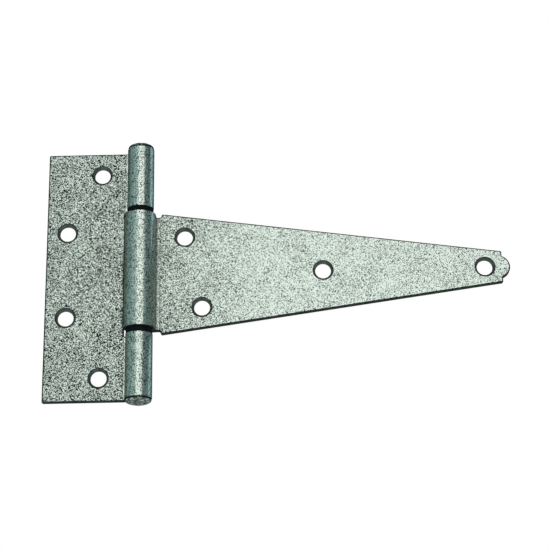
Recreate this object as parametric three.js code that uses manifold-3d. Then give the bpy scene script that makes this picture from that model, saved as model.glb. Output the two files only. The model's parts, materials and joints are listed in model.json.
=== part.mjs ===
// T hinge: a pad leaf for the post and a long tapering strap leaf for the gate, both of
// 3 mm sheet steel curled round one riveted pin. Two flanged bushings line the strap's
// knuckle, so the strap turns on plastic and not on the pad's knuckles.
//
// Millimetres. The origin is the centre of the pad's four screw holes, on its back face.
// +X runs toward the strap's tip, +Z up along the pin and +Y into the post.
import * as THREE from 'three';
import { mergeVertices } from 'three/addons/utils/BufferGeometryUtils.js';
import Module from 'manifold-3d';

// Sheet and pin
const SHEET = 3.0;
const PIN_RADIUS = 4.3;
const RUNNING_GAP = 0.1; // between pieces that turn against each other or touch
const SEAM_GAP = 0.2; // between a curl's end and the face of its own leaf
const LIP_LEAN = 0.03; // how far a curl's straight last stretch leans out, per mm of it
const PIN_BORE = PIN_RADIUS + RUNNING_GAP;
const PAD_KNUCKLE_RADIUS = PIN_BORE + SHEET;

// Bushings: a sleeve inside the strap's knuckle, and a flange between the knuckles
const SLEEVE_WALL = 1.0;
const SLEEVE_RADIUS = PIN_BORE + SLEEVE_WALL;
const SLEEVE_LENGTH = 26;
const FLANGE_RADIUS = 7.2;
const FLANGE_THICKNESS = 2.8;
const STRAP_BORE = SLEEVE_RADIUS + RUNNING_GAP;
const STRAP_KNUCKLE_RADIUS = STRAP_BORE + SHEET;

// Both leaves lie flat on one plane, at the back of the pad's knuckles
const LEAF_BACK = PAD_KNUCKLE_RADIUS; // behind the pin axis
const LEAF_FRONT = LEAF_BACK - SHEET;
const SEAM = LEAF_FRONT - SEAM_GAP;
const LIP_REACH = LIP_LEAN * SEAM; // how far out a curl's lip ends
const PIN_X = 31.45;
const PIN_Y = -LEAF_BACK;

// Pad leaf
const PAD_HALF_HEIGHT = 71.85;
const PAD_EDGE = -52.25; // from the pin axis
const CUTOUT_EDGE = -8.8; // from the pin axis
const CUTOUT_FILLET = 1.5;
const PAD_CORNER = 0.8;
const PAD_HOLES = [
  { x: -22.1, z: 58.9 },
  { x: -40.8, z: 24.6 },
  { x: -40.8, z: -24.6 },
  { x: -22.1, z: -58.9 },
]; // from the pin axis and the middle of the pad

// Strap leaf, measured from the pin axis
const STRAP_KNUCKLE_HALF = 33.0;
const SHOULDER_X = 11.3;
const SHOULDER_HALF = 35.0;
const SHOULDER_CORNER = 0.8;
const NECK_FILLET = SHOULDER_HALF - STRAP_KNUCKLE_HALF;
const STRAP_END_X = 198.9;
const STRAP_END_HALF = 9.0;
const STRAP_END_CORNER = 0.8;
const NOSE_RADIUS = 6.5;
const TIP_X = 203.2;
const JOGGLE_START = 2.0; // where the sheet, level with the knuckle's back, steps forward
const JOGGLE_END = 10.3; // where its back lies on the mounting plane
const STRAP_HOLES = [
  { x: 24.3, z: 20.9 },
  { x: 33.7, z: -19.9 },
  { x: 100.4, z: 0 },
  { x: 189.3, z: 0 },
];

// Screw holes: a straight bore with a countersunk mouth at the front
const HOLE_RADIUS = 4.35;
const MOUTH_RADIUS = 5.5;
const MOUTH_DEPTH = 1.4;

// Pin heads
const HEAD_RADIUS = 7.1;
const HEAD_HEIGHT = 3.1;
const HEAD_EDGE_HEIGHT = 0.8; // straight part of the head, under its dome

// Derived heights
const CUTOUT_HALF = STRAP_KNUCKLE_HALF + FLANGE_THICKNESS + 2 * RUNNING_GAP;
const HEAD_UNDERSIDE = PAD_HALF_HEIGHT + RUNNING_GAP;

// Facets
const CURL_SEGMENTS = 22;
const ROUND_SEGMENTS = 48;
const HOLE_SEGMENTS = 32;
const CORNER_SEGMENTS = 7;

const wasm = await Module();
wasm.setup();

const galvanised = { roughness: 0.5, metalness: 0.9 };
const materials = {
  pad: new THREE.MeshStandardMaterial({ color: 0x8f9a94, ...galvanised }),
  strap: new THREE.MeshStandardMaterial({ color: 0xbcc4be, ...galvanised }),
  pin: new THREE.MeshStandardMaterial({ color: 0x8a908c, ...galvanised }),
  nylon: new THREE.MeshStandardMaterial({ color: 0x16181a, roughness: 0.6, metalness: 0 }),
};

// Solids for joining and cutting

function toSolid(geometry) {
  const bare = geometry.clone();
  bare.deleteAttribute('normal');
  bare.deleteAttribute('uv');
  const merged = mergeVertices(bare, 1e-4);
  const mesh = new wasm.Mesh({
    numProp: 3,
    vertProperties: merged.attributes.position.array,
    triVerts: new Uint32Array(merged.index.array),
  });
  return new wasm.Manifold(mesh);
}

function toGeometry(solid) {
  const mesh = solid.getMesh();
  const geometry = new THREE.BufferGeometry();
  geometry.setAttribute('position', new THREE.BufferAttribute(mesh.vertProperties, 3));
  geometry.setIndex(new THREE.BufferAttribute(mesh.triVerts, 1));
  geometry.computeVertexNormals();
  return geometry;
}

function namedMesh(name, geometry, material) {
  const mesh = new THREE.Mesh(geometry, material);
  mesh.name = name;
  return mesh;
}

// A closed profile in the plane across the pin, run along it from -half to +half.
function alongPin(profile, half) {
  const geometry = new THREE.ExtrudeGeometry(profile, {
    depth: 2 * half,
    bevelEnabled: false,
    curveSegments: CURL_SEGMENTS,
  });
  return toSolid(geometry.translate(0, 0, -half));
}

// An outline seen from the front (its y is the hinge's Z), run right through the hinge.
function throughHinge(outline) {
  const reach = 3 * STRAP_KNUCKLE_RADIUS;
  const geometry = new THREE.ExtrudeGeometry(outline, {
    depth: 2 * reach,
    bevelEnabled: false,
    curveSegments: CORNER_SEGMENTS,
  });
  return toSolid(geometry.rotateX(Math.PI / 2).translate(0, reach, 0));
}

// A profile of [radius, height] points turned about +Z.
function turned(points, segments) {
  const profile = points.map(([radius, height]) => new THREE.Vector2(radius, height));
  return new THREE.LatheGeometry(profile, segments).rotateX(Math.PI / 2);
}

// The cutter for one screw hole, its mouth toward the front.
function holeCutter({ x, z }) {
  const over = 1;
  const slope = (MOUTH_RADIUS - HOLE_RADIUS) / MOUTH_DEPTH;
  const cutter = turned(
    [
      [0, -over],
      [HOLE_RADIUS, -over],
      [HOLE_RADIUS, SHEET - MOUTH_DEPTH],
      [MOUTH_RADIUS + over * slope, SHEET + over],
      [0, SHEET + over],
    ],
    HOLE_SEGMENTS,
  );
  return toSolid(cutter.rotateX(Math.PI / 2).translate(x, LEAF_BACK, z));
}

function drilled(leaf, holes) {
  return holes.reduce((solid, hole) => solid.subtract(holeCutter(hole)), leaf);
}

// Leaf sections, across the pin and with the pin axis at 0, 0. The sheet comes in behind
// the pin and runs round its front. A straight lip ends it just short of the leaf's face.

function padSection() {
  const section = new THREE.Shape();
  section.moveTo(PAD_EDGE, LEAF_FRONT);
  section.lineTo(0, LEAF_FRONT);
  section.absarc(0, 0, PIN_BORE, Math.PI / 2, -Math.PI, true);
  section.lineTo(-PIN_BORE - LIP_REACH, SEAM);
  section.lineTo(-PAD_KNUCKLE_RADIUS - LIP_REACH, SEAM);
  section.absarc(0, 0, PAD_KNUCKLE_RADIUS, -Math.PI, Math.PI / 2, false);
  section.lineTo(PAD_EDGE, LEAF_BACK);
  return section;
}

function strapSection() {
  const outer = STRAP_KNUCKLE_RADIUS;
  const inner = STRAP_BORE;
  const third = (JOGGLE_END - JOGGLE_START) / 3;
  const early = JOGGLE_START + third;
  const late = JOGGLE_END - third;
  const section = new THREE.Shape();
  section.moveTo(TIP_X, LEAF_FRONT);
  section.lineTo(JOGGLE_END, LEAF_FRONT);
  section.bezierCurveTo(late, LEAF_FRONT, early, inner, JOGGLE_START, inner);
  section.lineTo(0, inner);
  section.absarc(0, 0, inner, Math.PI / 2, 2 * Math.PI, false);
  section.lineTo(inner + LIP_REACH, SEAM);
  section.lineTo(outer + LIP_REACH, SEAM);
  section.absarc(0, 0, outer, 2 * Math.PI, Math.PI / 2, true);
  section.lineTo(JOGGLE_START, outer);
  section.bezierCurveTo(early, outer, late, LEAF_BACK, JOGGLE_END, LEAF_BACK);
  section.lineTo(TIP_X, LEAF_BACK);
  return section;
}

// Leaf outlines, seen from the front with the pin axis at x = 0

function padOutline() {
  const right = 2 * PAD_KNUCKLE_RADIUS;
  const top = PAD_HALF_HEIGHT;
  const corner = PAD_CORNER;
  const filletX = CUTOUT_EDGE + CUTOUT_FILLET;
  const filletZ = CUTOUT_HALF - CUTOUT_FILLET;
  const outline = new THREE.Shape();
  outline.moveTo(right, top);
  outline.lineTo(PAD_EDGE + corner, top);
  outline.absarc(PAD_EDGE + corner, top - corner, corner, Math.PI / 2, Math.PI, false);
  outline.lineTo(PAD_EDGE, corner - top);
  outline.absarc(PAD_EDGE + corner, corner - top, corner, Math.PI, 1.5 * Math.PI, false);
  outline.lineTo(right, -top);
  outline.lineTo(right, -CUTOUT_HALF);
  outline.absarc(filletX, -filletZ, CUTOUT_FILLET, 1.5 * Math.PI, Math.PI, true);
  outline.absarc(filletX, filletZ, CUTOUT_FILLET, Math.PI, Math.PI / 2, true);
  outline.lineTo(right, CUTOUT_HALF);
  return outline;
}

function strapOutline() {
  const left = -2 * STRAP_KNUCKLE_RADIUS;
  const neck = STRAP_KNUCKLE_HALF;
  const noseX = TIP_X - NOSE_RADIUS;
  const noseAngle = Math.acos((STRAP_END_X - noseX) / NOSE_RADIUS);
  const quarter = Math.PI / 2;
  const outline = new THREE.Shape();
  outline.moveTo(left, -neck);
  outline.lineTo(SHOULDER_X - NECK_FILLET, -neck);
  outline.absarc(SHOULDER_X - NECK_FILLET, -SHOULDER_HALF, NECK_FILLET, quarter, 0, true);
  outline.lineTo(SHOULDER_X + SHOULDER_CORNER, -SHOULDER_HALF);
  outline.lineTo(STRAP_END_X - STRAP_END_CORNER, -STRAP_END_HALF);
  outline.lineTo(STRAP_END_X, STRAP_END_CORNER - STRAP_END_HALF);
  outline.absarc(noseX, 0, NOSE_RADIUS, -noseAngle, noseAngle, false);
  outline.lineTo(STRAP_END_X, STRAP_END_HALF - STRAP_END_CORNER);
  outline.lineTo(STRAP_END_X - STRAP_END_CORNER, STRAP_END_HALF);
  outline.lineTo(SHOULDER_X + SHOULDER_CORNER, SHOULDER_HALF);
  outline.absarc(SHOULDER_X - NECK_FILLET, SHOULDER_HALF, NECK_FILLET, 0, -quarter, true);
  outline.lineTo(left, neck);
  return outline;
}

// The pieces

function padLeaf() {
  const sheet = alongPin(padSection(), PAD_HALF_HEIGHT);
  const blank = sheet.intersect(throughHinge(padOutline()));
  return toGeometry(drilled(blank, PAD_HOLES));
}

function strapLeaf() {
  const sheet = alongPin(strapSection(), SHOULDER_HALF);
  const blank = sheet.intersect(throughHinge(strapOutline()));
  return toGeometry(drilled(blank, STRAP_HOLES));
}

// One head's edge and dome as [radius, height] points, from its underside to its crown.
function headProfile() {
  const domeHeight = HEAD_HEIGHT - HEAD_EDGE_HEIGHT;
  const edgeTop = HEAD_UNDERSIDE + HEAD_EDGE_HEIGHT;
  const steps = 6;
  const points = [[HEAD_RADIUS, HEAD_UNDERSIDE]];
  for (let step = 0; step <= steps; step += 1) {
    const angle = (step / steps) * (Math.PI / 2);
    points.push([HEAD_RADIUS * Math.cos(angle), edgeTop + domeHeight * Math.sin(angle)]);
  }
  points[points.length - 1][0] = 0;
  return points;
}

function hingePin() {
  const upper = [[PIN_RADIUS, HEAD_UNDERSIDE], ...headProfile()];
  const lower = upper.map(([radius, height]) => [radius, -height]).reverse();
  return turned([...lower, ...upper], ROUND_SEGMENTS);
}

// The bushing for the knuckle's upper end. Its flange sits on the knuckle's end face.
function bushing() {
  const flangeBottom = STRAP_KNUCKLE_HALF + RUNNING_GAP;
  const flangeTop = flangeBottom + FLANGE_THICKNESS;
  const profile = [
    [PIN_BORE, flangeBottom - SLEEVE_LENGTH],
    [SLEEVE_RADIUS, flangeBottom - SLEEVE_LENGTH],
    [SLEEVE_RADIUS, flangeBottom],
    [FLANGE_RADIUS, flangeBottom],
    [FLANGE_RADIUS, flangeTop],
    [PIN_BORE, flangeTop],
    [PIN_BORE, flangeBottom - SLEEVE_LENGTH],
  ];
  return turned(profile, ROUND_SEGMENTS);
}

const hinge = new THREE.Group();
hinge.position.set(PIN_X, PIN_Y, 0);
hinge.add(namedMesh('pad_leaf', padLeaf(), materials.pad));
hinge.add(namedMesh('strap_leaf', strapLeaf(), materials.strap));
hinge.add(namedMesh('hinge_pin', hingePin(), materials.pin));
hinge.add(namedMesh('upper_bushing', bushing(), materials.nylon));
hinge.add(namedMesh('lower_bushing', bushing().rotateX(Math.PI), materials.nylon));

const part = new THREE.Group();
part.add(hinge);
export default part;
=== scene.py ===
"""A galvanised T hinge: pad leaf, strap leaf, riveted pin and two flanged bushings.

Each leaf is punched from a flat blank and then curled round the pin, as the real one is.
Sizes below are in millimetres, and a blank lies in its own plane: u runs along the sheet
from the pin axis toward the leaf's far edge, z runs along the pin, and m is how far a point
lies behind the middle of the sheet. Objects are in metres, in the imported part's frame.
"""
import json
import math

import bmesh
import bpy
import numpy as np
from mathutils import Matrix, Vector, kdtree, noise
from mathutils.geometry import delaunay_2d_cdt


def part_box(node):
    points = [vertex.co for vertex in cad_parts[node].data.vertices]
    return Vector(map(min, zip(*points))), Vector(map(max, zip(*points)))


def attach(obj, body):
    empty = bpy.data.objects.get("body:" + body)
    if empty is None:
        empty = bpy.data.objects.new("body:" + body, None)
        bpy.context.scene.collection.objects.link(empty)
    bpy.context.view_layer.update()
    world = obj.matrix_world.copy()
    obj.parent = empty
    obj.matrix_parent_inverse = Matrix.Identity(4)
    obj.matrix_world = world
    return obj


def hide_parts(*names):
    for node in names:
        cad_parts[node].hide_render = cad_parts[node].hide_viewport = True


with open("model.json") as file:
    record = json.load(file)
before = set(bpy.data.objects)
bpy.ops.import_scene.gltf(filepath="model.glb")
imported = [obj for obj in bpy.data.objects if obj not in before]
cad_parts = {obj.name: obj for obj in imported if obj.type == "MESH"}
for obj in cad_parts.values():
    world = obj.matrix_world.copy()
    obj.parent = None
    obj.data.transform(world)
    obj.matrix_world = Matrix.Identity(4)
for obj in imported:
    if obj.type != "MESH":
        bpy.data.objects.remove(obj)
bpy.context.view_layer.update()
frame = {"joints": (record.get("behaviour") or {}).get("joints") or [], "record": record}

MM = 0.001

# ---------------------------------------------------------------- sizes from the frame
PIN = Vector(frame["joints"][0]["pos_m"])
PAD_LOW, PAD_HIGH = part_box("pad_leaf")
STRAP_LOW, STRAP_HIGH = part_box("strap_leaf")
HEADS_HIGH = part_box("hinge_pin")[1]
BUSHING_LOW, BUSHING_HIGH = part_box("upper_bushing")

PAD_REACH = (PIN.x - PAD_LOW.x) / MM
PAD_HALF = PAD_HIGH.z / MM
PAD_KNUCKLE = (PAD_HIGH.x - PIN.x) / MM
LEAF_BACK = (PAD_HIGH.y - PIN.y) / MM
STRAP_REACH = (STRAP_HIGH.x - PIN.x) / MM
STRAP_KNUCKLE = (PIN.x - STRAP_LOW.x) / MM
SHOULDER_HALF = STRAP_HIGH.z / MM
HEAD_RADIUS = (HEADS_HIGH.x - PIN.x) / MM
HEAD_TOP = HEADS_HIGH.z / MM
FLANGE_RADIUS = (BUSHING_HIGH.x - PIN.x) / MM
FLANGE_TOP = BUSHING_HIGH.z / MM
SLEEVE_END = BUSHING_LOW.z / MM

# ------------------------------------------------------------------ sheet metal details
SHEET = 3.0
HALF_SHEET = SHEET / 2
LEAF_MIDDLE = LEAF_BACK - HALF_SHEET
FRONT_ROLLOVER = 0.75  # rounding of a punched edge on its front face
BACK_ROLLOVER = 0.25
LIP_LEAN = 0.03  # how far a curl's straight last stretch leans out, per mm of it
SEAM_GAP = 0.2
GAP = 0.1
JOGGLE_START = 2.0
JOGGLE_END = 10.3
CREASE_U = 10.3  # where the press that bent the joggle left its line
CREASE_DEPTH = 0.16
CREASE_WIDTH = 0.45

CUTOUT_U = 8.8
CUTOUT_HALF = FLANGE_TOP + GAP
CUTOUT_FILLET = 1.5
PAD_CORNER = 0.8
HIDDEN_CORNER = 0.8

KNUCKLE_HALF = 33.0
SHOULDER_U = 11.3
SHOULDER_CORNER = 0.8
NECK_FILLET = 1.15
STRAP_END_U = 198.9
STRAP_END_HALF = 9.0
STRAP_END_CORNER = 0.8
NOSE_RADIUS = 6.5
NOSE_FILLET = 0.4
NOSE_STEP = math.radians(4)

HOLE_RADIUS = 4.35
MOUTH_RADIUS = 5.5
MOUTH_DEPTH = 1.4
SHADE_RING_DEPTH = 0.25  # the painted shade, a ring of dark cut steel round a hole's mouth, reaches this deep
MOUTH_LIP = 0.32  # a hole's mouth meets the front face this far outside its cone
MOUTH_ROUND = 0.3
BORE_ROUND = 0.4  # where a hole's bore meets its mouth
BACK_ROUND = 0.2  # where a hole's bore meets the back face
BACK_LIP = 0.25

PIN_RADIUS = 4.3
PIN_BORE = PIN_RADIUS + GAP
SLEEVE_WALL = 1.0
SLEEVE_RADIUS = PIN_BORE + SLEEVE_WALL
SLEEVE_ROUND = 0.2
FLANGE_ROUND = 0.3
FLANGE_BOTTOM = KNUCKLE_HALF + GAP
HEAD_UNDERSIDE = PAD_HALF + GAP
HEAD_EDGE_HEIGHT = 0.8  # the straight part of a head, under its dome
HEAD_EDGE = HEAD_UNDERSIDE + HEAD_EDGE_HEIGHT
NECK_ROUND = 0.15  # where a head meets the pin
HEAD_ROUND = 0.25
DOME_STEPS = 14
DENT_SIZE = 2.4  # peening marks on the pin's heads
DENT_DEPTH = 0.22
DENT_STEEPNESS = 1.6
DENT_FADE = 3  # dents reach full depth this many dent depths above the dome's edge

CURL_STEP = 0.4
CURL_ROW = 1.2
FLAT_STEP = 3.0
ROUND_STEPS = 96
HOLE_STEPS = 72


# ---------------------------------------------------------------- outlines with normals
def rounded(corners, closed=True, steps=6):
    """Points and normals of a polyline of (x, y, radius), with its corners rounded.

    The normals point to the right of the direction of travel.
    """
    points = [Vector(corner[:2]) for corner in corners]
    last = len(points) - 1
    result = []
    for i, (here, corner) in enumerate(zip(points, corners)):
        ends_in = closed or i > 0
        ends_out = closed or i < last
        way_in = (here - points[i - 1]).normalized() if ends_in else None
        way_out = (points[(i + 1) % len(points)] - here).normalized() if ends_out else way_in
        way_in = way_in or way_out
        normal_in = Vector((way_in.y, -way_in.x))
        turn = math.atan2(way_in.cross(way_out), way_in.dot(way_out))
        radius = corner[2]
        if radius == 0 or abs(turn) < 1e-4:
            result.append((here, Matrix.Rotation(turn / 2, 2) @ normal_in))
            continue
        side = math.copysign(radius, turn)
        centre = here - way_in * radius * math.tan(abs(turn) / 2) - normal_in * side
        for step in range(steps + 1):
            normal = Matrix.Rotation(turn * step / steps, 2) @ normal_in
            result.append((centre + normal * side, normal))
    kept = result[:1]
    for item in result[1:]:
        if (item[0] - kept[-1][0]).length > 1e-5:
            kept.append(item)
    return kept


def resampled(loop, spacing):
    """A closed loop with its long straight stretches cut to spacing(u)."""
    result = []
    for i, (point, normal) in enumerate(loop):
        after, normal_after = loop[(i + 1) % len(loop)]
        nearest = min(abs(point.x), abs(after.x)) if point.x * after.x > 0 else 0
        step = spacing(nearest if min(point.x, after.x) > 0 else 0)
        pieces = max(1, math.ceil((after - point).length / step))
        for k in range(pieces):
            share = k / pieces
            blend = normal.lerp(normal_after, share).normalized()
            result.append((point.lerp(after, share), blend))
    return result


def circle(u, z, radius, steps):
    """A hole's loop: its normals point at its own centre, out of the sheet."""
    result = []
    for step in range(steps):
        angle = -2 * math.pi * step / steps
        normal = Vector((-math.cos(angle), -math.sin(angle)))
        result.append((Vector((u, z)) - normal * radius, normal))
    return result


# ------------------------------------------------------------------- bending the blank
class Bend:
    """Carries a flat blank to its curled shape. side is +1 where the leaf runs to +X."""

    def __init__(self, side, knuckle_radius):
        self.side = side
        self.radius = knuckle_radius - HALF_SHEET
        self.depth = knuckle_radius - LEAF_BACK
        self.curl_length = 1.5 * math.pi * self.radius
        self.lip = LEAF_MIDDLE - HALF_SHEET - SEAM_GAP
        self.end = -(self.curl_length + self.lip)

    def joggle(self, u):
        """How far the sheet lies behind its leaf's plane at u, and how fast that changes."""
        width = JOGGLE_END - JOGGLE_START
        share = min(max((u - JOGGLE_START) / width, 0), 1)
        behind = self.depth * (1 - share * share * (3 - 2 * share))
        return behind, -self.depth * 6 * share * (1 - share) / width

    def creased(self, u, m, normal):
        """Presses the joggle's crease into the front face of a leaf that has a joggle."""
        across = (u - CREASE_U) / CREASE_WIDTH
        if m > 0 or self.depth < GAP or abs(across) > 3:
            return m, normal
        groove = CREASE_DEPTH * math.exp(-across * across)
        slope = -2 * across * groove / CREASE_WIDTH
        return m + groove, (normal[0] - normal[1] * slope, normal[1], normal[2])

    def place(self, u, m, z, normal):
        """The bent point, and its normal from (along u, out of the back, along z)."""
        side = self.side
        m, normal = self.creased(u, m, normal)
        if u >= 0:
            behind, slope = self.joggle(u)
            x, y = side * u, LEAF_MIDDLE + behind + m
            along = Vector((side, slope, 0))
            out = Vector((-side * slope, 1, 0))
        elif -u <= self.curl_length:
            angle = -u / self.radius
            x = -side * (self.radius + m) * math.sin(angle)
            y = (self.radius + m) * math.cos(angle)
            along = Vector((side * math.cos(angle), math.sin(angle), 0))
            out = Vector((-side * math.sin(angle), math.cos(angle), 0))
        else:
            rise = -u - self.curl_length
            x, y = side * (self.radius + m + LIP_LEAN * rise), rise
            along = Vector((-side * LIP_LEAN, -1, 0))
            out = Vector((side, -LIP_LEAN, 0))
        across = along.normalized() * normal[0] + out.normalized() * normal[1]
        return PIN + Vector((x, y, z)) * MM, across + Vector((0, 0, normal[2]))


def leaf_spacing(u):
    return CURL_STEP if u < JOGGLE_END + 1 else FLAT_STEP


# ------------------------------------------------------------------------ mesh building
def inside(points, loop):
    """Which of the points lie inside a closed loop."""
    x, y = points[:, :1], points[:, 1:]
    before = np.roll(loop, 1, axis=0)
    rise = before[:, 1] - loop[:, 1]
    rise[rise == 0] = 1e-12
    crosses = (loop[:, 1] > y) != (before[:, 1] > y)
    at = (before[:, 0] - loop[:, 0]) * (y - loop[:, 1]) / rise + loop[:, 0]
    return (crosses & (x < at)).sum(axis=1) % 2 == 1


def finished(name, places, normals, faces, slots, materials):
    """Makes an object whose faces look out and whose vertices have the normals given."""
    mesh = bpy.data.meshes.new(name)
    mesh.from_pydata(places, [], faces)
    for material in materials:
        mesh.materials.append(material)
    mesh.polygons.foreach_set("material_index", slots)
    work = bmesh.new()
    work.from_mesh(mesh)
    bmesh.ops.recalc_face_normals(work, faces=work.faces)
    work.to_mesh(mesh)
    work.free()
    mesh.polygons.foreach_set("use_smooth", [True] * len(faces))
    if normals:
        mesh.normals_split_custom_set_from_vertices([n.normalized() for n in normals])
    piece = bpy.data.objects.new(name, mesh)
    bpy.context.scene.collection.objects.link(piece)
    return piece


class Blank:
    """A flat punched blank: its vertices (u, m, z), their normals and its faces."""

    FACE, CUT, BORE = 0, 1, 2

    def __init__(self, bend):
        self.bend = bend
        self.points = []
        self.normals = []
        self.faces = []
        self.slots = []

    def add(self, u, m, z, normal):
        self.points.append((u, m, z))
        self.normals.append(normal)
        return len(self.points) - 1

    def add_face(self, corners, slot):
        self.faces.append(tuple(corners))
        self.slots.append(slot)

    def wall(self, loop, profile, slot, rim_slot):
        """Sweeps a wall profile of (inset, m) points round a loop and returns its rings.

        The faces at the very front get rim_slot, which round a hole paints a ring of shade in dark
        cut steel.
        """
        rings = []
        for (inset, m), (inward, through) in profile:
            ring = []
            for point, normal in loop:
                place = point - normal * inset
                way = (-inward * normal.x, through, -inward * normal.y)
                ring.append(self.add(place.x, m, place.y, way))
            rings.append(ring)
        for first, second in zip(rings, rings[1:]):
            depth = self.points[first[0]][1] + HALF_SHEET
            kind = rim_slot if depth < SHADE_RING_DEPTH else slot
            for i in range(len(loop)):
                j = (i + 1) % len(loop)
                self.add_face((first[i], first[j], second[j], second[i]), kind)
        return rings

    def place_of(self, ring):
        return np.array([(self.points[i][0], self.points[i][2]) for i in ring])

    def fill(self, outer, holes, grid):
        """Fills a flat face between an outer ring and its hole rings with triangles."""
        m = self.points[outer[0]][1]
        indices = []
        edges = []
        for ring in (outer, *holes):
            start, count = len(indices), len(ring)
            indices += ring
            edges += [(start + i, start + (i + 1) % count) for i in range(count)]
        outline, openings = self.place_of(outer), [self.place_of(hole) for hole in holes]
        near = kdtree.KDTree(len(indices))
        for key, (u, z) in enumerate(self.place_of(indices)):
            near.insert((u, z, 0), key)
        near.balance()

        def in_sheet(points):
            kept = inside(points, outline)
            for opening in openings:
                kept &= ~inside(points, opening)
            return kept

        for u, z in grid[in_sheet(grid)]:
            if near.find((u, z, 0))[2] > CURL_STEP / 2:
                indices.append(self.add(u, m, z, (0, math.copysign(1, m), 0)))
        places = self.place_of(indices)
        made = delaunay_2d_cdt([Vector(p) for p in places], edges, [], 0, 1e-6)
        corners = np.array(made[2])
        middles = np.array([tuple(p) for p in made[0]])[corners].mean(axis=1)
        source = [indices[origin[0]] for origin in made[3]]
        for face in corners[in_sheet(middles)]:
            self.add_face((source[i] for i in face), self.FACE)

    def made(self, name, materials):
        bent = [self.bend.place(*p, n) for p, n in zip(self.points, self.normals)]
        places, normals = [p for p, _ in bent], [n for _, n in bent]
        return finished(name, places, normals, self.faces, self.slots, materials)


def leaf_grid(end, reach, half):
    """Inner points for a leaf's faces: close in the curl, wide apart on the flat."""
    curl = [(u, z) for u in np.arange(end, JOGGLE_END + 1, CURL_STEP)
            for z in np.arange(-half, half, CURL_ROW)]
    flat = [(u, z) for u in np.arange(JOGGLE_END + 1, reach, FLAT_STEP)
            for z in np.arange(-half, half, FLAT_STEP)]
    return np.array(curl + flat)


# Wall profiles run from the back face to the front one, as (inset, m).
EDGE_WALL = rounded(
    [
        (BACK_ROLLOVER, HALF_SHEET, 0),
        (0, HALF_SHEET, BACK_ROLLOVER),
        (0, -HALF_SHEET, FRONT_ROLLOVER),
        (FRONT_ROLLOVER, -HALF_SHEET, 0),
    ],
    closed=False,
)
MOUTH_INSET = MOUTH_RADIUS - HOLE_RADIUS
HOLE_WALL = rounded(
    [
        (BACK_LIP, HALF_SHEET, 0),
        (0, HALF_SHEET, BACK_ROUND),
        (0, MOUTH_DEPTH - HALF_SHEET, BORE_ROUND),
        (MOUTH_INSET, -HALF_SHEET, MOUTH_ROUND),
        (MOUTH_INSET + MOUTH_LIP, -HALF_SHEET, 0),
    ],
    closed=False,
    steps=4,
)


def screw_holes(leaf):
    """The (u, z) centres of a leaf's screw holes, from the openings the frame states."""
    side = -1 if leaf == "pad" else 1
    centres = []
    for opening in frame["record"]["physics"]["openings"]:
        if opening["name"].startswith(leaf):
            low, high = (Vector(corner) for corner in opening["box_m"])
            middle = (low + high) / 2 - PIN
            centres.append((side * middle.x / MM, middle.z / MM))
    return centres


def leaf(name, bend, outline, holes, grid, materials):
    blank = Blank(bend)
    rim = blank.wall(resampled(outline, leaf_spacing), EDGE_WALL, Blank.CUT, Blank.CUT)
    # Each hole's front rim gets the dark cut steel: a ring of painted shade round its mouth.
    bores = [
        blank.wall(circle(u, z, HOLE_RADIUS, HOLE_STEPS), HOLE_WALL, Blank.BORE, Blank.CUT)
        for u, z in holes
    ]
    blank.fill(rim[0], [bore[0] for bore in bores], grid)
    blank.fill(rim[-1], [bore[-1] for bore in bores], grid)
    return blank.made(name, materials)


def pad_leaf(materials):
    bend = Bend(-1, PAD_KNUCKLE)
    end, half, cutout = bend.end, PAD_HALF, CUTOUT_HALF
    outline = rounded(
        [
            (end, -half, HIDDEN_CORNER),
            (PAD_REACH, -half, PAD_CORNER),
            (PAD_REACH, half, PAD_CORNER),
            (end, half, HIDDEN_CORNER),
            (end, cutout, HIDDEN_CORNER),
            (CUTOUT_U, cutout, CUTOUT_FILLET),
            (CUTOUT_U, -cutout, CUTOUT_FILLET),
            (end, -cutout, HIDDEN_CORNER),
        ]
    )
    grid = leaf_grid(end, PAD_REACH, half)
    return leaf("pad_leaf_sheet", bend, outline, screw_holes("pad"), grid, materials)


def strap_outline(end):
    """Neck, shoulders, straight taper, and the round nose between two small steps."""
    nose_u = STRAP_REACH - NOSE_RADIUS
    nose_angle = math.acos((STRAP_END_U - nose_u) / NOSE_RADIUS)
    steps = round(nose_angle / NOSE_STEP)
    upper = [(STRAP_REACH, 0, 0)]
    for step in range(1, steps + 1):
        angle = nose_angle * step / steps
        fillet = NOSE_FILLET if step == steps else 0
        upper.append(
            (nose_u + NOSE_RADIUS * math.cos(angle), NOSE_RADIUS * math.sin(angle), fillet)
        )
    upper += [
        (STRAP_END_U, STRAP_END_HALF, STRAP_END_CORNER),
        (SHOULDER_U, SHOULDER_HALF, SHOULDER_CORNER),
        (SHOULDER_U, KNUCKLE_HALF, NECK_FILLET),
        (end, KNUCKLE_HALF, HIDDEN_CORNER),
    ]
    lower = [(u, -z, radius) for u, z, radius in reversed(upper[1:])]
    return rounded(lower + upper)


def strap_leaf(materials):
    bend = Bend(1, STRAP_KNUCKLE)
    outline = strap_outline(bend.end)
    grid = leaf_grid(bend.end, STRAP_REACH, SHOULDER_HALF)
    holes = screw_holes("strap")
    return leaf("strap_leaf_sheet", bend, outline, holes, grid, materials)


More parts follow.
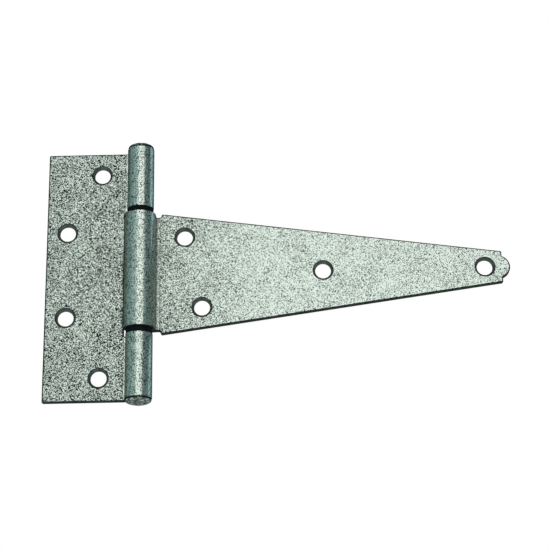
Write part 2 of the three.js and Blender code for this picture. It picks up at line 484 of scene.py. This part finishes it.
def turned(name, profile, closed, material, dented=None):
    """A round piece about the pin axis, from a profile of (radius, height) and normals.

    dented(radius, angle, height) gives the height that peening leaves at a point, if any.
    """
    places, normals, faces, rings = [], [], [], []
    for (radius, height), (out, up) in profile:
        steps = ROUND_STEPS if radius > 1e-6 else 1
        rings.append(range(len(places), len(places) + steps))
        for step in range(steps):
            angle = 2 * math.pi * step / ROUND_STEPS
            way = Vector((math.cos(angle), math.sin(angle), 0))
            rise = dented(radius, angle, height) if dented else height
            places.append(PIN + (way * radius + Vector((0, 0, rise))) * MM)
            normals.append(way * out + Vector((0, 0, up)))
    pairs = list(zip(rings, rings[1:])) + ([(rings[-1], rings[0])] if closed else [])
    for first, second in pairs:
        for i in range(ROUND_STEPS):
            j = (i + 1) % ROUND_STEPS
            corners = (
                first[i % len(first)],
                first[j % len(first)],
                second[j % len(second)],
                second[i % len(second)],
            )
            faces.append(tuple(dict.fromkeys(corners)))
    normals = None if dented else normals
    return finished(name, places, normals, faces, [0] * len(faces), [material])


def head_profile():
    """One peened head's (radius, height) points and normals, from its underside to its crown."""
    dome = HEAD_TOP - HEAD_EDGE
    edge = rounded(
        [
            (PIN_RADIUS, HEAD_UNDERSIDE, NECK_ROUND),
            (HEAD_RADIUS, HEAD_UNDERSIDE, HEAD_ROUND),
            (HEAD_RADIUS, HEAD_EDGE, 0),
        ],
        closed=False,
    )
    crown = []
    for step in range(1, DOME_STEPS + 1):
        angle = math.pi / 2 * step / DOME_STEPS
        out, up = math.cos(angle), math.sin(angle)
        point = Vector((HEAD_RADIUS * out, HEAD_EDGE + dome * up))
        crown.append((point, Vector((out / HEAD_RADIUS, up / dome)).normalized()))
    crown[-1][0].x = 0
    return edge + crown


def peened(radius, angle, height):
    """The height of a point once the domes carry the round dents of the peening tool."""
    above = abs(height) - HEAD_EDGE
    if above < 0:
        return height
    spot = Vector((radius * math.cos(angle), radius * math.sin(angle), height / 2)) / DENT_SIZE
    nearest = noise.voronoi(spot)[0][0]
    share = min(above / DENT_DEPTH / DENT_FADE, 1)
    dent = DENT_DEPTH * share * max(0, 1 - nearest * DENT_STEEPNESS)
    return height - math.copysign(dent, height)


def riveted_pin(material):
    upper = head_profile()
    lower = [(Vector((p.x, -p.y)), Vector((n.x, -n.y))) for p, n in reversed(upper)]
    return turned("riveted_pin", lower + upper, False, material, peened)


def flanged_bushing(name, end, material):
    """A moulded bushing. end is +1 at the strap knuckle's upper end and -1 at its lower."""
    corners = [
        (PIN_BORE, SLEEVE_END, SLEEVE_ROUND),
        (SLEEVE_RADIUS, SLEEVE_END, SLEEVE_ROUND),
        (SLEEVE_RADIUS, FLANGE_BOTTOM, SLEEVE_ROUND),
        (FLANGE_RADIUS, FLANGE_BOTTOM, FLANGE_ROUND),
        (FLANGE_RADIUS, FLANGE_TOP, FLANGE_ROUND),
        (PIN_BORE, FLANGE_TOP, FLANGE_ROUND),
    ]
    profile = rounded([(r, end * z, fillet) for r, z, fillet in corners[::end]])
    return turned(name, profile, True, material)


# ---------------------------------------------------------------------------- materials
CRYSTAL_SIZE = 0.36
CRYSTAL_SHARE = 0.9  # how much of the zinc's tone the crystals make
GRAIN_SHARE = 0.1  # and how much the finer grain makes
SPECK_BLUR = 0.05
CORNER_SHADE = 0.75  # how dark the painted shade is in the corner between a leaf and its knuckle
SHADE_GREY = 0.02  # the grey of the painted shade, in a curl's corner and at the pin's heads
FLOOR_GLOW = 0.55

# The share of dark specks, and the four greys from the darkest up
PAD_SPECKS = (0.53, (0.01, 0.05, 0.86, 0.99))
STRAP_SPECKS = (0.30, (0.02, 0.14, 0.93, 0.99))
CURL_SPECKS = (0.36, (0.08, 0.26, 0.86, 0.99))


class Nodes:
    """A short way to build a material's node tree."""

    def __init__(self, name):
        self.material = bpy.data.materials.new(name)
        self.material.use_nodes = True
        self.tree = self.material.node_tree
        self.shader = self.tree.nodes["Principled BSDF"]
        self.place = self.new("ShaderNodeTexCoord").outputs["Object"]

    def new(self, kind, **settings):
        node = self.tree.nodes.new(kind)
        for key, value in settings.items():
            setattr(node, key, value)
        return node

    def link(self, source, target):
        if isinstance(source, (int, float, tuple)):
            target.default_value = source
        else:
            self.tree.links.new(source, target)

    def noise(self, size_mm, detail=2.0, roughness=0.5, place=None):
        node = self.new("ShaderNodeTexNoise")
        self.link(place or self.place, node.inputs["Vector"])
        node.inputs["Scale"].default_value = 1 / (size_mm * MM)
        node.inputs["Detail"].default_value = detail
        node.inputs["Roughness"].default_value = roughness
        return node.outputs["Fac"]

    def stretched(self, x, y, z):
        """The place in the object, with patterns made longer along axes whose share is low."""
        node = self.new("ShaderNodeMapping")
        self.link(self.place, node.inputs["Vector"])
        node.inputs["Scale"].default_value = (x, y, z)
        return node.outputs["Vector"]

    def cells(self, size_mm, place=None):
        """A random value for each small crystal."""
        node = self.new("ShaderNodeTexVoronoi")
        self.link(place or self.place, node.inputs["Vector"])
        node.inputs["Scale"].default_value = 1 / (size_mm * MM)
        split = self.new("ShaderNodeSeparateColor")
        self.link(node.outputs["Color"], split.inputs["Color"])
        return split.outputs["Red"]

    def math(self, operation, first, second=0.0, clamp=False):
        node = self.new("ShaderNodeMath", operation=operation, use_clamp=clamp)
        self.link(first, node.inputs[0])
        self.link(second, node.inputs[1])
        return node.outputs[0]

    def ranged(self, value, low, high, to_low=0.0, to_high=1.0):
        node = self.new("ShaderNodeMapRange")
        self.link(value, node.inputs["Value"])
        for key, number in zip(("From Min", "From Max", "To Min", "To Max"),
                               (low, high, to_low, to_high)):
            node.inputs[key].default_value = number
        return node.outputs["Result"]

    def along(self, axis, start, end):
        """0 at start and 1 at end along X or Y, in millimetres from the pin axis.

        Along Z it counts from the middle of the pin, both up and down.
        """
        split = self.new("ShaderNodeSeparateXYZ")
        self.link(self.place, split.inputs[0])
        place = split.outputs[axis]
        if axis == "Z":
            place = self.math("ABSOLUTE", place)
        middle = PIN["XYZ".index(axis)]
        return self.ranged(place, middle + start * MM, middle + end * MM)

    def ramp(self, value, *stops):
        node = self.new("ShaderNodeValToRGB")
        self.link(value, node.inputs["Fac"])
        elements = node.color_ramp.elements
        while len(elements) < len(stops):
            elements.new(0.5)
        for element, (position, colour) in zip(elements, stops):
            element.position = position
            element.color = (*colour, 1)
        return node.outputs["Color"]

    def mix(self, share, first, second):
        node = self.new("ShaderNodeMix", data_type="RGBA")
        self.link(share, node.inputs["Factor"])
        colours = [socket for socket in node.inputs if socket.type == "RGBA"]
        self.link(first, colours[0])
        self.link(second, colours[1])
        return next(out for out in node.outputs if out.type == "RGBA")

    def bump(self, height, depth_mm, strength=1.0, below=None):
        node = self.new("ShaderNodeBump")
        node.inputs["Strength"].default_value = strength
        node.inputs["Distance"].default_value = depth_mm * MM
        self.link(height, node.inputs["Height"])
        if below is not None:
            self.link(below, node.inputs["Normal"])
        return node.outputs["Normal"]

    def finish(self, colour, roughness, normal, metallic, specular=0.5, rim=1.0):
        """rim is how much of its gloss a surface keeps where it is seen edge-on."""
        self.link(colour, self.shader.inputs["Base Color"])
        self.link(roughness, self.shader.inputs["Roughness"])
        self.link(normal, self.shader.inputs["Normal"])
        self.shader.inputs["Metallic"].default_value = metallic
        self.shader.inputs["Specular IOR Level"].default_value = specular
        self.shader.inputs["Specular Tint"].default_value = (rim, rim, rim, 1)
        return self.material


DARK_CAST = Vector((0.78, 1.0, 0.86))
PALE_CAST = Vector((0.94, 1.0, 0.895))


def grey(level):
    """A zinc grey of a given level, whose green cast fades as it gets paler."""
    return tuple(DARK_CAST.lerp(PALE_CAST, level) * level)


def speckled(n, tone, dark_share, levels):
    """Dark specks below dark_share of the tone and pale crystals above it."""
    stops = (0.0, dark_share - SPECK_BLUR, dark_share + SPECK_BLUR, 1.0)
    return n.ramp(tone, *((stop, grey(level)) for stop, level in zip(stops, levels)))


def zinc(name, flat, curl, curl_span, wear, wear_span):
    """Galvanised sheet: fine pale crystals with dark specks between them.

    flat and curl are the share of dark specks and the four greys, darkest first, of the
    flat sheet and of the curl that rolling has burnished. curl_span is where the flat
    turns to curl, and wear gives the extra dark specks at the two ends of wear_span, all
    in millimetres from the pin axis. The curl's lip, in the corner where it closes on the leaf, is
    darkened with painted shade.
    """
    n = Nodes(name)
    crystals = n.cells(CRYSTAL_SIZE)
    grain = n.ranged(n.noise(0.3, detail=2.0, roughness=0.6), low=0.28, high=0.72)
    clouds = n.ranged(n.noise(14.0, detail=4.0), low=0.3, high=0.7, to_low=-0.06, to_high=0.06)
    worn = n.ranged(n.along("X", *wear_span), 0, 1, *wear)
    crystal_part = n.math("MULTIPLY", crystals, CRYSTAL_SHARE)
    grain_part = n.math("MULTIPLY", grain, GRAIN_SHARE)
    value = n.math("ADD", crystal_part, grain_part)
    tone = n.math("SUBTRACT", value, n.math("ADD", worn, clouds), clamp=True)
    in_curl = n.along("X", *curl_span)
    drawn = n.cells(0.9 * CRYSTAL_SIZE, place=n.stretched(1, 1, 0.6))
    clean = n.mix(in_curl, speckled(n, tone, *flat), speckled(n, drawn, *curl))
    beside = n.along("X", *(0.9 * edge for edge in curl_span))
    # Painted shade: the lower part of the curl's lip, where it closes on the leaf, goes dark
    # toward the grey of shade.
    corner = n.math("MULTIPLY", n.along("Y", start=0.0, end=1.0), n.along("Y", start=3.0, end=2.0))
    painted_shade = n.math("MULTIPLY", corner, n.math("SUBTRACT", 1.0, beside))
    colour = n.mix(n.math("MULTIPLY", painted_shade, CORNER_SHADE), clean, (*grey(SHADE_GREY), 1))
    flat_rough = n.ranged(tone, low=0.1, high=0.8, to_low=0.5, to_high=0.33)
    rough = n.math("SUBTRACT", flat_rough, n.math("MULTIPLY", in_curl, 0.14))
    fine = n.bump(grain, depth_mm=0.02, strength=0.3)
    normal = n.bump(crystals, depth_mm=0.02, strength=0.2, below=fine)
    return n.finish(colour, rough, normal, metallic=0.95, rim=0.35)


def cut_steel(name, dark, middle, light, rim):
    """A punched edge or bore: sheared steel with drag marks through the sheet."""
    n = Nodes(name)
    drag = n.noise(0.35, detail=3.0, place=n.stretched(1, 0.15, 1))
    patches = n.noise(3.0, detail=2.0)
    tone = n.math("ADD", n.math("MULTIPLY", drag, 0.6), n.math("MULTIPLY", patches, 0.4))
    colour = n.ramp(tone, (0.3, grey(dark)), (0.52, grey(middle)), (0.75, grey(light)))
    normal = n.bump(drag, depth_mm=0.04, strength=0.4)
    rough = n.ranged(tone, low=0.3, high=0.7, to_low=0.7, to_high=0.5)
    return n.finish(colour, rough, normal, metallic=0.6, specular=0.2, rim=rim)


def peened_zinc(name):
    """The pin's heads: galvanised with rubbed smears, and painted shade where each head meets the
    knuckle.
    """
    n = Nodes(name)
    crystals = n.cells(0.6)
    grain = n.ranged(n.noise(0.45, detail=3.0, roughness=0.7), low=0.28, high=0.72)
    smears = n.ranged(n.noise(1.6, detail=2.0), low=0.35, high=0.65)
    fine = n.math("ADD", n.math("MULTIPLY", crystals, 0.3), n.math("MULTIPLY", grain, 0.3))
    tone = n.math("ADD", fine, n.math("MULTIPLY", smears, 0.4))
    clean = n.ramp(tone, (0.3, grey(0.07)), (0.5, grey(0.19)), (0.8, grey(0.7)))
    # Painted shade: each head's straight edge, in the gap by the knuckle's end, goes dark toward
    # the grey of shade.
    painted_shade = n.along("Z", HEAD_EDGE, HEAD_UNDERSIDE + HEAD_EDGE_HEIGHT / 2)
    colour = n.mix(n.math("MULTIPLY", painted_shade, 0.9), clean, (*grey(SHADE_GREY), 1))
    rough = n.ranged(tone, low=0.2, high=0.8, to_low=0.5, to_high=0.3)
    fine = n.bump(grain, depth_mm=0.03, strength=0.3)
    normal = n.bump(smears, depth_mm=0.08, strength=0.5, below=fine)
    return n.finish(colour, rough, normal, metallic=0.9, rim=0.3)


def nylon(name):
    """Black moulded nylon with a faint grain and a few paler scuffs."""
    n = Nodes(name)
    grain = n.noise(0.25, detail=2.0)
    scuffs = n.noise(2.5, detail=4.0, roughness=0.7)
    colour = n.ramp(scuffs, (0.45, (0.003, 0.003, 0.004)), (0.75, (0.012, 0.013, 0.014)))
    rough = n.ranged(scuffs, low=0.3, high=0.7, to_low=0.55, to_high=0.75)
    normal = n.bump(grain, depth_mm=0.02, strength=0.3)
    return n.finish(colour, rough, normal, metallic=0.0, specular=0.12)


def floor_paint(name):
    """A pale floor, lit from within so that it stays pale under a faint lamp overhead."""
    n = Nodes(name)
    mottle = n.noise(180.0, detail=4.0)
    colour = n.ramp(mottle, (0.3, (0.78, 0.79, 0.79)), (0.7, (0.83, 0.84, 0.84)))
    n.shader.inputs["Emission Color"].default_value = (1, 1, 1, 1)
    n.shader.inputs["Emission Strength"].default_value = FLOOR_GLOW
    rough = n.ranged(mottle, low=0.3, high=0.7, to_low=0.75, to_high=0.85)
    normal = n.bump(mottle, depth_mm=0.3, strength=0.1)
    return n.finish(colour, rough, normal, metallic=0.0)


# --------------------------------------------------------------------- camera and light
CAMERA_AT = (0.10926, -0.76213, -0.26345)
CAMERA_UP_TILT = math.radians(18.98)
CAMERA_YAW = math.radians(0.295)
CAMERA_ROLL = math.radians(-1.09)
LENS = 95.7
SENSOR = 36
NEAREST = 0.01
FLOOR_Z = -0.45
FLOOR_RADIUS = 4
ROOM_COLOUR = (0.54, 0.95, 1.04, 1)
ROOM_BRIGHTNESS = 0.125
PLAIN_LIGHT = (1.0, 1.0, 1.0)


def add_camera():
    """The viewer stands low, in front of the strap, and looks up at the barrel."""
    camera = bpy.data.objects.new("camera", bpy.data.cameras.new("camera"))
    camera.data.lens = LENS
    camera.data.sensor_width = SENSOR
    camera.data.clip_start = NEAREST
    level = Matrix.Rotation(math.pi / 2 + CAMERA_UP_TILT, 4, "X")
    turned_left = Matrix.Rotation(CAMERA_YAW, 4, "Z")
    rolled = Matrix.Rotation(CAMERA_ROLL, 4, "Z")
    camera.matrix_world = Matrix.Translation(CAMERA_AT) @ turned_left @ level @ rolled
    bpy.context.scene.collection.objects.link(camera)
    bpy.context.scene.camera = camera


def softbox(name, azimuth, elevation, distance, size, brightness, colour):
    """A soft rectangle of light aimed at the barrel. Azimuth 0 is in front, 90 at +X."""
    turn, rise = math.radians(azimuth), math.radians(elevation)
    level = math.cos(rise)
    way = Vector((math.sin(turn) * level, -math.cos(turn) * level, math.sin(rise)))
    width, height = size
    data = bpy.data.lights.new(name, "AREA")
    data.shape = "RECTANGLE"
    data.size, data.size_y = width, height
    data.energy = brightness * math.pi * width * height
    data.color = colour
    light = bpy.data.objects.new(name, data)
    light.location = PIN + way * distance
    light.rotation_euler = way.to_track_quat("Z", "Y").to_euler()
    light.visible_camera = False
    bpy.context.scene.collection.objects.link(light)


def add_world():
    """White behind the hinge for the viewer, and a dim cool room for its reflections."""
    world = bpy.data.worlds.new("studio")
    bpy.context.scene.world = world
    world.use_nodes = True
    tree = world.node_tree
    room = tree.nodes["Background"]
    room.inputs["Color"].default_value = ROOM_COLOUR
    room.inputs["Strength"].default_value = ROOM_BRIGHTNESS
    white = tree.nodes.new("ShaderNodeBackground")
    white.inputs["Color"].default_value = (1, 1, 1, 1)
    ray = tree.nodes.new("ShaderNodeLightPath")
    chosen = tree.nodes.new("ShaderNodeMixShader")
    tree.links.new(ray.outputs["Is Camera Ray"], chosen.inputs["Fac"])
    tree.links.new(room.outputs[0], chosen.inputs[1])
    tree.links.new(white.outputs[0], chosen.inputs[2])
    tree.links.new(chosen.outputs[0], tree.nodes["World Output"].inputs["Surface"])


def add_floor():
    bpy.ops.mesh.primitive_circle_add(
        vertices=ROUND_STEPS, radius=FLOOR_RADIUS, fill_type="NGON", location=(0, 0, FLOOR_Z)
    )
    floor = bpy.context.object
    floor.name = "floor"
    floor.data.materials.append(floor_paint("floor_paint"))


def add_studio():
    add_world()
    add_floor()
    softbox(
        "front_box", azimuth=8, elevation=20, distance=1.5,
        size=(1.38, 1.4), brightness=0.95, colour=PLAIN_LIGHT,
    )
    softbox(
        "left_box", azimuth=-38, elevation=20, distance=1.5,
        size=(1.05, 1.3), brightness=0.29, colour=(0.75, 1.0, 0.98),
    )
    softbox(
        "far_left_box", azimuth=-82, elevation=20, distance=1.5,
        size=(1.1, 1.2), brightness=0.145, colour=(0.68, 1.0, 0.99),
    )
    softbox(
        "right_rim", azimuth=112, elevation=20, distance=1.5,
        size=(0.8, 1.2), brightness=0.50, colour=(0.66, 0.92, 1.0),
    )
    softbox(
        "back_box", azimuth=180, elevation=0, distance=1.8,
        size=(1.2, 0.6), brightness=0.6, colour=(0.95, 1.0, 1.0),
    )
    softbox(
        "top_box", azimuth=0, elevation=88, distance=1.8,
        size=(1.6, 1.2), brightness=0.04, colour=PLAIN_LIGHT,
    )
    bpy.context.scene.view_settings.view_transform = "Standard"


# ----------------------------------------------------------------------------- assembly
def assemble():
    # The punched edges are sheared steel kept near black: partly their own colour and partly
    # painted shade.
    cut_and_shade = cut_steel("cut_steel", dark=0.01, middle=0.04, light=0.12, rim=0.2)
    bore = cut_steel("bore_steel", dark=0.04, middle=0.14, light=0.32, rim=0.5)
    pad_zinc = zinc(
        "pad_zinc", flat=PAD_SPECKS, curl=CURL_SPECKS,
        curl_span=(-8.7, -8.3), wear=(0.06, 0.0), wear_span=(-8, -30),
    )
    strap_zinc = zinc(
        "strap_zinc", flat=STRAP_SPECKS, curl=CURL_SPECKS,
        curl_span=(9.6, 8.6), wear=(0.17, 0.0), wear_span=(20, 60),
    )
    black = nylon("black_nylon")
    pieces = (
        (pad_leaf([pad_zinc, cut_and_shade, bore]), "pad_leaf", "pad", "pad_steel"),
        (strap_leaf([strap_zinc, cut_and_shade, bore]), "strap_leaf", "strap", "strap_steel"),
        (riveted_pin(peened_zinc("peened_zinc")), "hinge_pin", "pad", "pin_steel"),
        (flanged_bushing("upper_flanged_bushing", 1, black), "upper_bushing", "strap", "nylon"),
        (flanged_bushing("lower_flanged_bushing", -1, black), "lower_bushing", "strap", "nylon"),
    )
    for piece, node, body, slot in pieces:
        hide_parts(node)
        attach(piece, body)


add_camera()
assemble()
add_studio()
